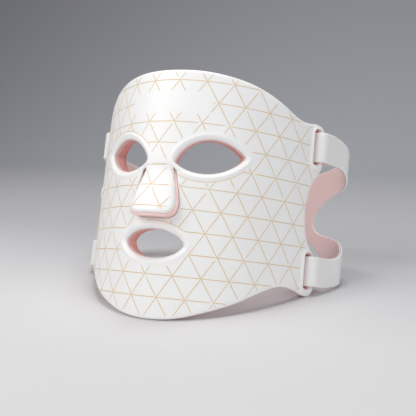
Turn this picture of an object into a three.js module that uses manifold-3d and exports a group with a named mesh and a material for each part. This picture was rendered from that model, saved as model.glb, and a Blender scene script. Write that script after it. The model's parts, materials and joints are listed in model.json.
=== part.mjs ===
// A flexible light-therapy face mask: a bent silicone sheet with eye, mouth and nose openings,
// light boards inside it, and a two-part head strap that hooks through slots in its wings.
//
// Most pieces are drawn flat, as the sheet lies before it is bent: x runs along the sheet from its
// centre line, y runs up it, and z points out of its front, so a depth is a negative z.
// One bending function then carries every flat point to its place. Millimetres, +Z up, the front
// faces -Y, +X is the wearer's left.

import * as THREE from 'three';
import Module from 'manifold-3d';
import { mergeVertices } from 'three/addons/utils/BufferGeometryUtils.js';

const wasm = await Module();
wasm.setup();

// ---- Driving dimensions ------------------------------------------------------------------------

const GAP = 0.3;                    // between touching pieces

const BEND_GAIN = 0.515;            // the sheet's angle is BEND_GAIN * asinh(x / BEND_WIDTH)
const BEND_WIDTH = 32.25;
const CROWN = 5.1;                  // how far the top and bottom of the middle sit back
const CROWN_HEIGHT = 107.5;
const CROWN_WIDTH = 150;
const LEAN = THREE.MathUtils.degToRad(19.4);
const REST_LIFT = 96.3;             // height of the sheet's datum over the surface it stands on
const REST_SHIFT = -22.6;           // brings the chin's resting edge to the origin

const SHELL_DEPTH = 2.2;
const BOARD_TOP = 2.6;
const BOARD_THICK = 0.8;
const LIGHT_SIZE = 3.4;
const LIGHT_HEIGHT = 1.2;
const LINER_FLOOR = 5;
const SHEET_DEPTH = 7;
const RIM_WIDTH = 4;
const EYE_GASKET_DEPTH = 12;
const MOUTH_GASKET_DEPTH = 12;
const GASKET_WIDTH = 4;

const NOSE_RISE = 12;               // how far the nose piece's lower edge stands out
const NOSE_TOP = 11.5;
const NOSE_BOTTOM = -22;
const NOSE_ROUND = 0.3;             // share of the rise lost at the nose piece's widest
const NOSE_HALF_WIDTH = 17;
const NOSE_CUP_MARGIN = 2.2;
const NOSE_CLEARANCE = 0.8;

const SLOT_INNER = 133.2;           // x range of the slots, inside their grommets
const SLOT_OUTER = 138.4;
const GROMMET_WALL = 1;
const GROMMET_INSET = 0.6;
const BAR_CENTRE = 143.4;           // the bar outboard of each slot, which the strap hooks round
const UPPER_ARM = { low: 37.5, high: 62.5 };
const LOWER_ARM = { low: -63.5, high: -39.5 };
const ARM_CLEARANCE = 1.5;

const LOOP_RADIUS = 7.5;            // strap's middle to the bar's centre
const LOOP_SWEEP = 300;             // degrees of the strap's turn round the bar
const STRAP_SKIN = 1.5;
const STRAP_LINING = 0.9;
const STRAP_RUN = 24;               // straight run behind the bar
const STRAP_TURN_RADIUS = 16;
const STRAP_TURN_HEADING = 150;     // degrees, where the tight turn ends
const TAB_LENGTH = 12;
const TAB_THICK = 5;

const COLUMN_ANGLE = THREE.MathUtils.degToRad(6);   // the sheet's facets turn by this much
const COLUMNS = 12;                                 // on each side of the centre line
const ROWS = 5;
const SHEET_LOW = -101;
const SHEET_HIGH = 93;

// ---- Materials ---------------------------------------------------------------------------------

function material(color, roughness, metalness = 0) {
  return new THREE.MeshStandardMaterial({ color, roughness, metalness });
}

const WHITE_SILICONE = material(0xf4f2f1, 0.5);
const PINK_SILICONE = material(0xf0c4c0, 0.5);
const ROSE_SILICONE = material(0xdc9a93, 0.55);
const BOARD_FILM = material(0xf2e6c8, 0.45);
const RIBBON_FILM = material(0xc98a3c, 0.4);
const POUCH_FOIL = material(0xc9ccd0, 0.35, 0.8);
const RIGID_BOARD = material(0x2f6b4f, 0.5);
const STEEL = material(0xc4c6c9, 0.3, 1);

// ---- Bending -----------------------------------------------------------------------------------

// The sheet's horizontal section: the point and the angle at a distance along it.
function section(along) {
  const steps = 24;
  let x = 0;
  let y = 0;
  for (let i = 0; i < steps; i += 1) {
    const angle = BEND_GAIN * Math.asinh((along * (i + 0.5)) / steps / BEND_WIDTH);
    x += (Math.cos(angle) * along) / steps;
    y += (Math.sin(angle) * along) / steps;
  }
  return { x, y, angle: BEND_GAIN * Math.asinh(along / BEND_WIDTH) };
}

// From the upright sheet to the leaning mask on its resting edges.
function lean(x, y, height) {
  return new THREE.Vector3(
    x,
    y * Math.cos(LEAN) + height * Math.sin(LEAN) - REST_SHIFT,
    height * Math.cos(LEAN) - y * Math.sin(LEAN) + REST_LIFT,
  );
}

function bendSheet(point) {
  const at = section(point.x);
  const depth = -point.z;
  const crown = CROWN * (point.y / CROWN_HEIGHT) ** 2 * (1 - (point.x / CROWN_WIDTH) ** 2);
  return lean(
    at.x - depth * Math.sin(at.angle),
    at.y + depth * Math.cos(at.angle) + crown,
    point.y,
  );
}

const BAR = section(BAR_CENTRE);
const BAR_AXIS = {
  x: BAR.x - (SHEET_DEPTH / 2) * Math.sin(BAR.angle),
  y: BAR.y + (SHEET_DEPTH / 2) * Math.cos(BAR.angle),
};

// A step along a heading from a point in plan.
function ahead(from, heading, distance) {
  return {
    x: from.x + distance * Math.cos(heading),
    y: from.y + distance * Math.sin(heading),
  };
}

const RIGHT_ANGLE = Math.PI / 2;
const STRAP_EXIT = ahead(BAR_AXIS, BAR.angle - RIGHT_ANGLE, LOOP_RADIUS);
const TURN_START = ahead(STRAP_EXIT, BAR.angle, STRAP_RUN);
const TURN_END_HEADING = THREE.MathUtils.degToRad(STRAP_TURN_HEADING);
const TURN_CENTRE = ahead(TURN_START, BAR.angle + RIGHT_ANGLE, STRAP_TURN_RADIUS);
const TURN_END = ahead(TURN_CENTRE, TURN_END_HEADING - RIGHT_ANGLE, STRAP_TURN_RADIUS);
const TURN_LENGTH = STRAP_TURN_RADIUS * (TURN_END_HEADING - BAR.angle);
const BACK_RADIUS = TURN_END.x / Math.sin(TURN_END_HEADING);
const BACK_CENTRE = ahead(TURN_END, TURN_END_HEADING + RIGHT_ANGLE, BACK_RADIUS);
const STRAP_LENGTH = STRAP_RUN + TURN_LENGTH + BACK_RADIUS * (Math.PI - TURN_END_HEADING);

// The strap's plan: a turn round the bar, a straight run, a tight turn, and a wide arc behind the
// head that ends square to the centre line.
function strapPlan(along) {
  if (along < 0) {
    const heading = BAR.angle + along / LOOP_RADIUS;
    return { ...ahead(BAR_AXIS, heading - RIGHT_ANGLE, LOOP_RADIUS), heading };
  }
  if (along < STRAP_RUN) {
    return { ...ahead(STRAP_EXIT, BAR.angle, along), heading: BAR.angle };
  }
  if (along < STRAP_RUN + TURN_LENGTH) {
    const heading = BAR.angle + (along - STRAP_RUN) / STRAP_TURN_RADIUS;
    return { ...ahead(TURN_CENTRE, heading - RIGHT_ANGLE, STRAP_TURN_RADIUS), heading };
  }
  const heading = TURN_END_HEADING + (along - STRAP_RUN - TURN_LENGTH) / BACK_RADIUS;
  return { ...ahead(BACK_CENTRE, heading - RIGHT_ANGLE, BACK_RADIUS), heading };
}

function bendStrap(point) {
  const at = strapPlan(point.x);
  const place = ahead(at, at.heading - RIGHT_ANGLE, point.z);
  return lean(place.x, place.y, point.y);
}

// How far the nose piece stands out of the sheet: most at its foot and along its middle.
function noseRise(across, height) {
  const share = THREE.MathUtils.clamp((NOSE_TOP - height) / (NOSE_TOP - NOSE_BOTTOM), 0, 1.1);
  return NOSE_RISE * share ** 1.15 * (1 - NOSE_ROUND * (across / NOSE_HALF_WIDTH) ** 2);
}

// The nose piece is drawn as a flat stack; its skirt, below SKIRT_START, stretches to the sheet.
const SKIRT_START = 7;
const SKIRT_END = 14;
function bendNose(point) {
  const rise = noseRise(point.x, point.y);
  const depth = -point.z;
  const skirtDepth = Math.max(8 - rise, 4);
  if (depth <= SKIRT_START) {
    return bendSheet(new THREE.Vector3(point.x, point.y, rise - depth));
  }
  const share = (depth - SKIRT_START) / (SKIRT_END - SKIRT_START);
  const start = SKIRT_START - rise;
  return bendSheet(new THREE.Vector3(point.x, point.y, -(start + share * (skirtDepth - start))));
}

// ---- Solids ------------------------------------------------------------------------------------

// A closed mesh as a solid. Each triangle is its own face, which keeps the facets that bend.
function solid(geometry) {
  const bare = geometry.clone();
  bare.deleteAttribute('normal');
  bare.deleteAttribute('uv');
  const merged = mergeVertices(bare, 1e-4);
  const triVerts = new Uint32Array(merged.index.array);
  const faceID = Uint32Array.from({ length: triVerts.length / 3 }, (_, i) => i);
  const vertProperties = new Float32Array(merged.attributes.position.array);
  return new wasm.Manifold(new wasm.Mesh({ numProp: 3, vertProperties, triVerts, faceID }));
}

function geometryOf(shape) {
  const mesh = shape.getMesh();
  const geometry = new THREE.BufferGeometry();
  geometry.setAttribute('position', new THREE.BufferAttribute(new Float32Array(mesh.vertProperties), 3));
  geometry.setIndex(new THREE.BufferAttribute(new Uint32Array(mesh.triVerts), 1));
  return geometry;
}

function bent(geometry, bend) {
  const position = geometry.attributes.position;
  const point = new THREE.Vector3();
  for (let i = 0; i < position.count; i += 1) {
    point.fromBufferAttribute(position, i);
    position.setXYZ(i, ...bend(point).toArray());
  }
  return geometry;
}

// The same piece on the wearer's other side.
function mirrored(geometry) {
  const copy = geometry.clone();
  const position = copy.attributes.position;
  for (let i = 0; i < position.count; i += 1) {
    position.setX(i, -position.getX(i));
  }
  const index = copy.index.array;
  for (let i = 0; i < index.length; i += 3) {
    [index[i], index[i + 1]] = [index[i + 1], index[i]];
  }
  return copy;
}

function prism(loop, top, bottom) {
  const shape = new THREE.Shape(loop);
  const depth = bottom - top;
  const geometry = new THREE.ExtrudeGeometry(shape, { depth, bevelEnabled: false });
  return solid(geometry.translate(0, 0, -bottom));
}

// A block between two depths, with facets for bending.
function block(left, right, low, high, top, bottom, facets = [1, 1]) {
  const box = new THREE.BoxGeometry(right - left, high - low, bottom - top, facets[0], facets[1], 1);
  return solid(box.translate((left + right) / 2, (low + high) / 2, -(top + bottom) / 2));
}

// A slab of the whole sheet, its columns spaced so that each turns by the same angle.
function sheetSlab(top, bottom) {
  const columns = 2 * COLUMNS;
  const box = new THREE.BoxGeometry(columns, SHEET_HIGH - SHEET_LOW, bottom - top, columns, ROWS, 1);
  box.translate(0, (SHEET_HIGH + SHEET_LOW) / 2, -(top + bottom) / 2);
  const position = box.attributes.position;
  for (let i = 0; i < position.count; i += 1) {
    const angle = Math.round(position.getX(i)) * COLUMN_ANGLE;
    position.setX(i, BEND_WIDTH * Math.sinh(angle / BEND_GAIN));
  }
  return solid(box);
}

function sheetPiece(loop, holes, top, bottom) {
  let piece = sheetSlab(top, bottom).intersect(prism(loop, top - 1, bottom + 1));
  for (const hole of holes) {
    piece = piece.subtract(prism(hole, top - 1, bottom + 1));
  }
  return piece;
}

// ---- Outlines ----------------------------------------------------------------------------------

function points(pairs) {
  return pairs.map(([x, y]) => new THREE.Vector2(x, y));
}

function flipped(loop) {
  return loop.map((p) => new THREE.Vector2(-p.x, p.y)).reverse();
}

// A loop moved outwards by a distance, or inwards where it is negative. Loops run anticlockwise.
function offset(loop, distance) {
  const count = loop.length;
  return loop.map((p, i) => {
    const before = p.clone().sub(loop[(i + count - 1) % count]).normalize();
    const after = loop[(i + 1) % count].clone().sub(p).normalize();
    const along = before.add(after).normalize();
    const widen = 1 / Math.max(Math.abs(along.dot(after)), 0.6);
    return new THREE.Vector2(p.x + along.y * distance * widen, p.y - along.x * distance * widen);
  });
}

function roundedBox(left, right, low, high, radius, arcSteps = 4) {
  const corners = [
    [right - radius, high - radius, 0],
    [left + radius, high - radius, 1],
    [left + radius, low + radius, 2],
    [right - radius, low + radius, 3],
  ];
  const loop = [];
  for (const [x, y, quarter] of corners) {
    for (let i = 0; i <= arcSteps; i += 1) {
      const angle = RIGHT_ANGLE * (quarter + i / arcSteps);
      loop.push(new THREE.Vector2(x + radius * Math.cos(angle), y + radius * Math.sin(angle)));
    }
  }
  return loop;
}

// The mask's edge: its left half from the middle of the chin up to the middle of the brow.
const EDGE = points([
  [0, -99.5], [14, -98.6], [27, -96.3], [41, -92], [56, -87], [72, -80.6], [88, -72.8],
  [102, -67.4], [112, -66.2], [122, -67.8], [133, -71.2], [141, -71.2], [146, -64.5], [146.8, -52],
  [144.5, -41], [137, -32.5], [131.5, -22], [129, -7], [130.5, 7], [134.5, 19], [142, 29],
  [147, 40], [147.2, 55], [144, 65.5], [136, 68.8], [125, 67.6], [113, 69], [92, 78.4],
  [72, 85.2], [52, 89], [28, 91.2], [0, 91.5],
]);

function curve(list, count) {
  return new THREE.SplineCurve(list).getPoints(count);
}

function closedBySymmetry(half) {
  const other = half.slice(1, -1).map((p) => new THREE.Vector2(-p.x, p.y)).reverse();
  return [...half, ...other];
}

const SHEET_LOOP = closedBySymmetry(curve(EDGE, 46));

// Two curved lids between two corners, anticlockwise.
function lens(corners, lowPull, highPull, steps = 9) {
  const [first, second] = points(corners);
  const under = new THREE.CubicBezierCurve(first, ...points(lowPull), second).getPoints(steps);
  const over = new THREE.CubicBezierCurve(second, ...points(highPull), first).getPoints(steps);
  return [...under.slice(0, -1), ...over.slice(0, -1)];
}

const EYE_LEFT = lens([[11.8, 18.7], [68, 28]], [[27, 6], [53.5, 10]], [[45, 47], [17, 37]]);
const EYE_RIGHT = flipped(EYE_LEFT);
const MOUTH = lens([[-26, -42.8], [26, -42.8]], [[-18.5, -58.2], [18.5, -58.2]],
  [[18.5, -29.2], [-18.5, -29.2]]);

// The nose piece: a long trapezium with round lower corners.
const NOSE_SIDE = points([
  [0, NOSE_BOTTOM], [6, NOSE_BOTTOM], [11.5, NOSE_BOTTOM + 0.2], [15.6, NOSE_BOTTOM + 2.6],
  [NOSE_HALF_WIDTH, NOSE_BOTTOM + 8], [16.2, -7], [14.8, 0], [13.2, 6.5], [12.2, NOSE_TOP],
]);
const NOSE = closedBySymmetry([...curve(NOSE_SIDE, 12), new THREE.Vector2(0, NOSE_TOP)]);
const NOSE_OPENING = offset(NOSE, NOSE_CUP_MARGIN + NOSE_CLEARANCE);

function slotLoops(margin) {
  const loops = [];
  for (const arm of [UPPER_ARM, LOWER_ARM]) {
    const low = arm.low - ARM_CLEARANCE - margin;
    const high = arm.high + ARM_CLEARANCE + margin;
    const loop = roundedBox(SLOT_INNER - margin, SLOT_OUTER + margin, low, high, 2 + margin, 2);
    loops.push(loop, flipped(loop));
  }
  return loops;
}

const SLOT_HOLES = slotLoops(GROMMET_WALL + GAP);
const BUTTON = { x: -117, y: 2, radius: 5.6, rise: 0.9 };
const SOCKET = { x: -108, low: -65.9, high: -58, width: 9, top: 2.6, bottom: 5.8 };

function disc(x, y, radius, steps = 16) {
  const turn = (i) => (2 * Math.PI * i) / steps;
  return Array.from({ length: steps }, (_, i) =>
    new THREE.Vector2(x + radius * Math.cos(turn(i)), y + radius * Math.sin(turn(i))));
}

const BUTTON_HOLE = disc(BUTTON.x, BUTTON.y, BUTTON.radius + GAP);

// ---- The assembly ------------------------------------------------------------------------------

const mask = new THREE.Group();

function add(name, geometry, finish) {
  const mesh = new THREE.Mesh(geometry, finish);
  mesh.name = name;
  mask.add(mesh);
}

// The resting edges are pared flat where the mask stands.
function paredFlat(geometry) {
  const under = new THREE.BoxGeometry(400, 400, 20).translate(0, 0, -10);
  return geometryOf(solid(geometry).subtract(solid(under)));
}

function addSheet(name, piece, finish) {
  add(name, bent(geometryOf(piece), bendSheet), finish);
}

function addShell() {
  const holes = [EYE_LEFT, EYE_RIGHT, MOUTH, NOSE_OPENING, BUTTON_HOLE, ...SLOT_HOLES];
  const piece = sheetPiece(SHEET_LOOP, holes, 0, SHELL_DEPTH);
  add('outer_shell', paredFlat(bent(geometryOf(piece), bendSheet)), WHITE_SILICONE);
}

// The liner is a tray: a floor behind the lights and a rim that meets the shell round every edge.
function addLiner() {
  const top = SHELL_DEPTH + GAP;
  const holes = [
    offset(EYE_LEFT, GASKET_WIDTH + GAP),
    offset(EYE_RIGHT, GASKET_WIDTH + GAP),
    offset(MOUTH, GASKET_WIDTH + GAP),
    NOSE_OPENING,
    ...SLOT_HOLES,
  ];
  const floor = sheetPiece(SHEET_LOOP, holes, LINER_FLOOR, SHEET_DEPTH);
  const wingInset = offset(SHEET_LOOP, -RIM_WIDTH);
  let rim = sheetPiece(SHEET_LOOP, holes, top, LINER_FLOOR);
  rim = rim.subtract(prism(wingInset, top - 1, LINER_FLOOR));
  const boss = block(SOCKET.x - 8, SOCKET.x + 8, SOCKET.low + 1.5, SOCKET.high + 3,
    LINER_FLOOR + 0.5, SOCKET.bottom + 2, [2, 1]);
  const pocket = block(SOCKET.x - SOCKET.width / 2 - GAP, SOCKET.x + SOCKET.width / 2 + GAP,
    SOCKET.low - 4, SOCKET.high + GAP, top - 1, SOCKET.bottom + GAP, [1, 1]);
  const piece = floor.add(rim).add(boss).subtract(pocket);
  add('inner_liner', paredFlat(bent(geometryOf(piece), bendSheet)), PINK_SILICONE);
}

// A gasket fills its opening behind the shell and stands inwards as a soft collar.
function addGasket(name, loop, depth) {
  const ring = prism(offset(loop, GASKET_WIDTH), SHELL_DEPTH + GAP, depth);
  const nose = prism(offset(NOSE_OPENING, GAP), 0, depth + 1);
  const piece = ring.subtract(prism(offset(loop, -0.4), 0, depth + 1)).subtract(nose);
  addSheet(name, piece, ROSE_SILICONE);
}

function addGrommets() {
  const names = ['upper_left', 'upper_right', 'lower_left', 'lower_right'];
  const outer = slotLoops(GROMMET_WALL);
  const inner = slotLoops(0);
  names.forEach((name, i) => {
    const ring = prism(outer[i], GROMMET_INSET, SHEET_DEPTH - GROMMET_INSET).subtract(prism(inner[i], -1, SHEET_DEPTH + 1));
    addSheet(`slot_grommet_${name}`, ring, ROSE_SILICONE);
  });
}

// A thin board with its lights standing on the wearer's side.
function lightBoard(loop, lights) {
  const bottom = BOARD_TOP + BOARD_THICK;
  let piece = sheetPiece(loop, [], BOARD_TOP, bottom);
  for (const [x, y] of lights) {
    const half = LIGHT_SIZE / 2;
    const light = block(x - half, x + half, y - half, y + half, bottom - 0.2, bottom + LIGHT_HEIGHT);
    piece = piece.add(light);
  }
  return piece;
}

function lightGrid(left, right, columns, low, high, rows) {
  const lights = [];
  for (let i = 0; i < columns; i += 1) {
    for (let j = 0; j < rows; j += 1) {
      lights.push([
        THREE.MathUtils.lerp(left, right, i / (columns - 1)),
        THREE.MathUtils.lerp(low, high, j / (rows - 1)),
      ]);
    }
  }
  return lights;
}

function addBoards() {
  const brow = closedBySymmetry(points([
    [0, 47], [72, 47], [84, 50], [87, 60], [84, 70], [66, 78], [40, 82], [0, 84],
  ]));
  addSheet('led_board_forehead', lightBoard(brow, lightGrid(-72, 72, 7, 54, 68, 2)), BOARD_FILM);
  const chin = roundedBox(-34, 34, -88, -64, 5, 2);
  addSheet('led_board_chin', lightBoard(chin, lightGrid(-27, 27, 4, -82, -70, 2)), BOARD_FILM);
  const cheek = points([
    [28, -1], [28, -26], [40, -36], [40, -76], [56, -78], [92, -64], [92, -1], [80, 5], [40, 3],
  ]);
  const lights = lightGrid(48, 84, 3, -56, -6, 4);
  addSheet('led_board_cheek_left', lightBoard(cheek, lights), BOARD_FILM);
  const others = lights.map(([x, y]) => [-x, y]);
  addSheet('led_board_cheek_right', lightBoard(flipped(cheek), others), BOARD_FILM);
}

function addStrip(name, left, right, low, high, finish, facets, top = BOARD_TOP, bottom = BOARD_TOP + 0.4) {
  addSheet(name, block(left, right, low, high, top, bottom, facets), finish);
}

function addWiring() {
  addStrip('ribbon_temple_left', 76, 82, 5.6, 46.2, RIBBON_FILM, [1, 2]);
  addStrip('ribbon_temple_right', -82, -76, 5.6, 46.2, RIBBON_FILM, [1, 2]);
  addStrip('ribbon_jaw_left', 34 + GAP, 40 - GAP, -74, -68, RIBBON_FILM, [1, 1]);
  addStrip('ribbon_jaw_right', -40 + GAP, -34 - GAP, -74, -68, RIBBON_FILM, [1, 1]);
  addStrip('ribbon_nose', -3, 3, NOSE_TOP + 6, 47 - GAP, RIBBON_FILM, [1, 1]);
  addStrip('battery_lead', 92 + GAP, 99 - GAP, -10, -4, RIBBON_FILM, [1, 1]);
  addStrip('driver_lead', -99 + GAP, -92 - GAP, -10, -4, RIBBON_FILM, [1, 1]);
}

function addElectronics() {
  addStrip('battery_pouch', 99, 121, -32, 24, POUCH_FOIL, [3, 3], BOARD_TOP, 4.6);
  const board = block(-123, -99, -34, 26, 3.8, 4.6, [3, 3]);
  const tact = block(BUTTON.x - 2.5, BUTTON.x + 2.5, BUTTON.y - 2.5, BUTTON.y + 2.5, 3, 3.9);
  const chip = block(-110, -104, -20, -12, 3, 3.9);
  addSheet('driver_board', board.add(tact).add(chip), RIGID_BOARD);
  addStrip('charging_socket', SOCKET.x - SOCKET.width / 2, SOCKET.x + SOCKET.width / 2,
    SOCKET.low, SOCKET.high, STEEL, [1, 1], SOCKET.top, SOCKET.bottom);
  const cap = prism(disc(BUTTON.x, BUTTON.y, BUTTON.radius), -BUTTON.rise, SHELL_DEPTH - 0.1);
  addSheet('power_button', cap, WHITE_SILICONE);
}

function addNose() {
  const addNosePiece = (name, piece, finish) => {
    add(name, bent(geometryOf(piece), bendNose), finish);
  };
  const rows = block(-30, 30, NOSE_BOTTOM - 6, NOSE_TOP + 6, 0, SHELL_DEPTH, [8, 6]);
  addNosePiece('nose_flap', rows.intersect(prism(NOSE, -1, SHELL_DEPTH + 1)), WHITE_SILICONE);

  const board = roundedBox(-8, 8, -16, 6, 2, 2);
  const film = block(-10, 10, -18, 8, BOARD_TOP, BOARD_TOP + BOARD_THICK, [4, 4]);
  let lit = film.intersect(prism(board, 0, SHEET_DEPTH));
  for (const [x, y] of lightGrid(-4, 4, 2, -12, 2, 2)) {
    const half = LIGHT_SIZE / 2;
    lit = lit.add(block(x - half, x + half, y - half, y + half, 3.2, BOARD_TOP + BOARD_THICK + 1));
  }
  addNosePiece('led_board_nose', lit, BOARD_FILM);

  const top = SHELL_DEPTH + GAP;
  const outer = prism(offset(NOSE, NOSE_CUP_MARGIN), top, SKIRT_END);
  const grid = block(-30, 30, NOSE_BOTTOM - 8, NOSE_TOP + 8, top, SKIRT_START, [8, 6]);
  const skirt = block(-30, 30, NOSE_BOTTOM - 8, NOSE_TOP + 8, SKIRT_START, SKIRT_END, [8, 6]);
  let cup = grid.add(skirt).intersect(outer);
  cup = cup.subtract(prism(offset(NOSE, -2.5), top - 1, LINER_FLOOR));
  cup = cup.subtract(prism(offset(NOSE, 0.6), SKIRT_START - 0.6, SKIRT_END + 1));
  addNosePiece('nose_cup', cup, PINK_SILICONE);
}

// ---- The strap ---------------------------------------------------------------------------------

const LOOP_LENGTH = LOOP_RADIUS * THREE.MathUtils.degToRad(LOOP_SWEEP);
const STRAP_END = STRAP_LENGTH - TAB_LENGTH;
const BAND = { low: -30, high: 26 };

// The strap drawn flat, anticlockwise: two arms that join behind the ear round a curved crotch.
const STRAP_UNDER = points([
  [8, LOWER_ARM.low], [20, -62], [32, -58.5], [44, -52], [54, -44], [64, -35], [74, -25],
  [86, -20], [100, -19], [116, -21], [134, -26], [STRAP_END, BAND.low],
]);
const STRAP_OVER = points([
  [STRAP_END, BAND.high], [134, 27], [116, 30], [100, 33], [86, 36], [72, 38.5], [60, 41],
  [50, 44.5], [40, 49], [30, 55], [20, 60], [8, UPPER_ARM.high],
]);
const STRAP_CROTCH = points([
  [4, UPPER_ARM.low], [16, 37], [24, 35], [31, 29.5], [38, 24.5], [48, 20], [60, 13.5], [70, 4],
  [74, -6], [70, -14], [61, -17.5], [50, -20], [40, -25], [33, -31.5], [26, -36.5], [16, -39.2],
  [6, LOWER_ARM.high],
]);

function strapLoop() {
  return [
    new THREE.Vector2(-LOOP_LENGTH, LOWER_ARM.low),
    ...curve(STRAP_UNDER, 11),
    ...curve(STRAP_OVER, 11),
    ...points([[-LOOP_LENGTH, UPPER_ARM.high], [-LOOP_LENGTH, UPPER_ARM.low]]),
    ...curve(STRAP_CROTCH, 24),
    new THREE.Vector2(-LOOP_LENGTH, LOWER_ARM.high),
  ];
}

// Where the strap's facets fold: closely round the bar and the turn, widely along the back.
function strapColumns() {
  const spread = (from, to, count) =>
    Array.from({ length: count }, (_, i) => from + ((to - from) * i) / count);
  const turnEnd = STRAP_RUN + TURN_LENGTH;
  return [
    ...spread(-LOOP_LENGTH - 1, 0, 14),
    ...spread(0, STRAP_RUN, 1),
    ...spread(STRAP_RUN, turnEnd, 7),
    ...spread(turnEnd, STRAP_LENGTH, 7),
    STRAP_LENGTH,
  ];
}

function strapLayer(loop, front, back) {
  const columns = strapColumns();
  const count = columns.length - 1;
  const box = new THREE.BoxGeometry(count, 140, front - back, count, 1, 1);
  box.translate(count / 2, 0, (front + back) / 2);
  const position = box.attributes.position;
  for (let i = 0; i < position.count; i += 1) {
    position.setX(i, columns[Math.round(position.getX(i))]);
  }
  const layer = solid(box).intersect(prism(loop, -3, 3));
  return bent(geometryOf(layer), bendStrap);
}

function addPair(name, geometry, finish) {
  add(`${name}_left`, geometry, finish);
  add(`${name}_right`, mirrored(geometry), finish);
}

function addStraps() {
  const half = (STRAP_SKIN + GAP + STRAP_LINING) / 2;
  const loop = strapLoop();
  addPair('strap_skin', strapLayer(loop, half, half - STRAP_SKIN), WHITE_SILICONE);
  addPair('strap_lining', strapLayer(loop, STRAP_LINING - half, -half), PINK_SILICONE);

  const face = STRAP_LENGTH - GAP / 2;
  const magnet = { left: face - 3, low: -14, high: 10, half: 1.2 };
  const tab = block(STRAP_END + GAP, face, BAND.low - 2, BAND.high + 2,
    -TAB_THICK / 2, TAB_THICK / 2, [3, 1]);
  const pocket = block(magnet.left - GAP, face + 1, magnet.low - GAP, magnet.high + GAP,
    -magnet.half - GAP, magnet.half + GAP);
  addPair('closure_tab', bent(geometryOf(tab.subtract(pocket)), bendStrap), PINK_SILICONE);
  const bar = block(magnet.left, face, magnet.low, magnet.high, -magnet.half, magnet.half);
  addPair('closure_magnet', bent(geometryOf(bar), bendStrap), STEEL);
}

addShell();
addLiner();
addGasket('eye_gasket_left', EYE_LEFT, EYE_GASKET_DEPTH);
addGasket('eye_gasket_right', EYE_RIGHT, EYE_GASKET_DEPTH);
addGasket('mouth_gasket', MOUTH, MOUTH_GASKET_DEPTH);
addGrommets();
addBoards();
addWiring();
addElectronics();
addNose();
addStraps();

export default mask;
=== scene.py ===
# A light-therapy face mask of bent silicone sheet, standing on a pale floor in soft light.
#
# Most pieces are drawn flat: x runs along the sheet from its centre line, y runs up it, and the
# third number is the depth behind its front. A bend then carries every point to its place. The
# flat drawings are in millimetres, as the CAD's are, and every bend returns metres in the frame
# that the CAD and this scene share.

import json
import math

import bmesh
import bpy
import numpy as np
from mathutils import Matrix, Vector
from mathutils.geometry import delaunay_2d_cdt

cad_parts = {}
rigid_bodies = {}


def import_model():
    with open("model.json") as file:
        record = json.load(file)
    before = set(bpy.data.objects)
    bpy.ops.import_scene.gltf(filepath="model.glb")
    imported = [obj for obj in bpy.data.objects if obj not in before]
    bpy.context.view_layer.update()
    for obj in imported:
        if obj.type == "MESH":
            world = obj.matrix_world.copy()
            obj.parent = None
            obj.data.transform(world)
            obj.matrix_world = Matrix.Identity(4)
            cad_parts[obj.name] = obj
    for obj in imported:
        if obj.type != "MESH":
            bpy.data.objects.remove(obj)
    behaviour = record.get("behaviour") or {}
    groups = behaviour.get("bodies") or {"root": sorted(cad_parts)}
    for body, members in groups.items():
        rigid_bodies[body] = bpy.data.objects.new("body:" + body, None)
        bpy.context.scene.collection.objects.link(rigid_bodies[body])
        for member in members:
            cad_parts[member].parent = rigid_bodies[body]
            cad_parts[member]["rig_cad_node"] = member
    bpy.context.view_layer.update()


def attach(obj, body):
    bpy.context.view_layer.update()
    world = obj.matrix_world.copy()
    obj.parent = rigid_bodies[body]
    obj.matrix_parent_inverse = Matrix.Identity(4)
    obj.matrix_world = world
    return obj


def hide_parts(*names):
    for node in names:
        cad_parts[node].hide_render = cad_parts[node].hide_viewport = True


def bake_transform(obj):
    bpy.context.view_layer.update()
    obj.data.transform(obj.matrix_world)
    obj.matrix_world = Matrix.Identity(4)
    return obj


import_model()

# ---- Driving dimensions, in millimetres --------------------------------------------------------

MM = 0.001

BEND_GAIN = 0.515                   # how fast the section turns, and over what width
BEND_WIDTH = 32.25
CROWN = 5.1                         # how far the top and bottom of the middle sit back
CROWN_HEIGHT = 107.5
CROWN_WIDTH = 150
LEAN = math.radians(19.4)
REST_LIFT = 96.3
REST_SHIFT = -22.6

LINER_TOP = 2.35
LINER_FLOOR = 5
SHEET_DEPTH = 7
RIM_WIDTH = 4
EYE_GASKET_DEPTH = 12
MOUTH_GASKET_DEPTH = 12
GASKET_WIDTH = 4

NOSE_RISE = 12                      # how far its lower edge stands out of the sheet
NOSE_TOP = 11.5
NOSE_BOTTOM = -22
NOSE_SEAM = 15.4                    # where the nose piece's skin meets the shell's
NOSE_ROUND = 0.3                    # share of the rise lost at the nose piece's widest
NOSE_HALF_WIDTH = 17
NOSE_CUP_MARGIN = 2.2               # the cup's reach past the nose piece's skin
NOSE_CLEARANCE = 0.3
BRIDGE_CLEARANCE = 0.12
CUP_BRIDGE_INSET = 0.7              # the cup draws in at the bridge, where the nose piece flexes
SKIRT_START = 7                     # depths between which the cup's skirt stretches
SKIRT_END = 14

SLOT_INNER = 133.2
SLOT_OUTER = 138.4
GROMMET_WALL = 1
BAR_CENTRE = 143.4                  # the bar outboard of each slot, which the strap hooks round
UPPER_ARM = (37.5, 62.5)
LOWER_ARM = (-63.5, -39.5)
ARM_CLEARANCE = 1.5

LOOP_RADIUS = 7.5                   # from the strap's middle to the bar's centre
LOOP_SWEEP = math.radians(300)
STRAP_SKIN = 1.5
STRAP_LINING = 0.9
STRAP_GAP = 0.1
STRAP_HALF = 1.35                   # half of the strap's thickness
STRAP_RUN = 24                      # straight run behind the bar
STRAP_TURN_RADIUS = 16
STRAP_TURN_HEADING = math.radians(150)
TAB_LENGTH = 12
TAB_THICK = 5

BUTTON_AT = (-117, 2)
BUTTON_RADIUS = 5.6

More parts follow.
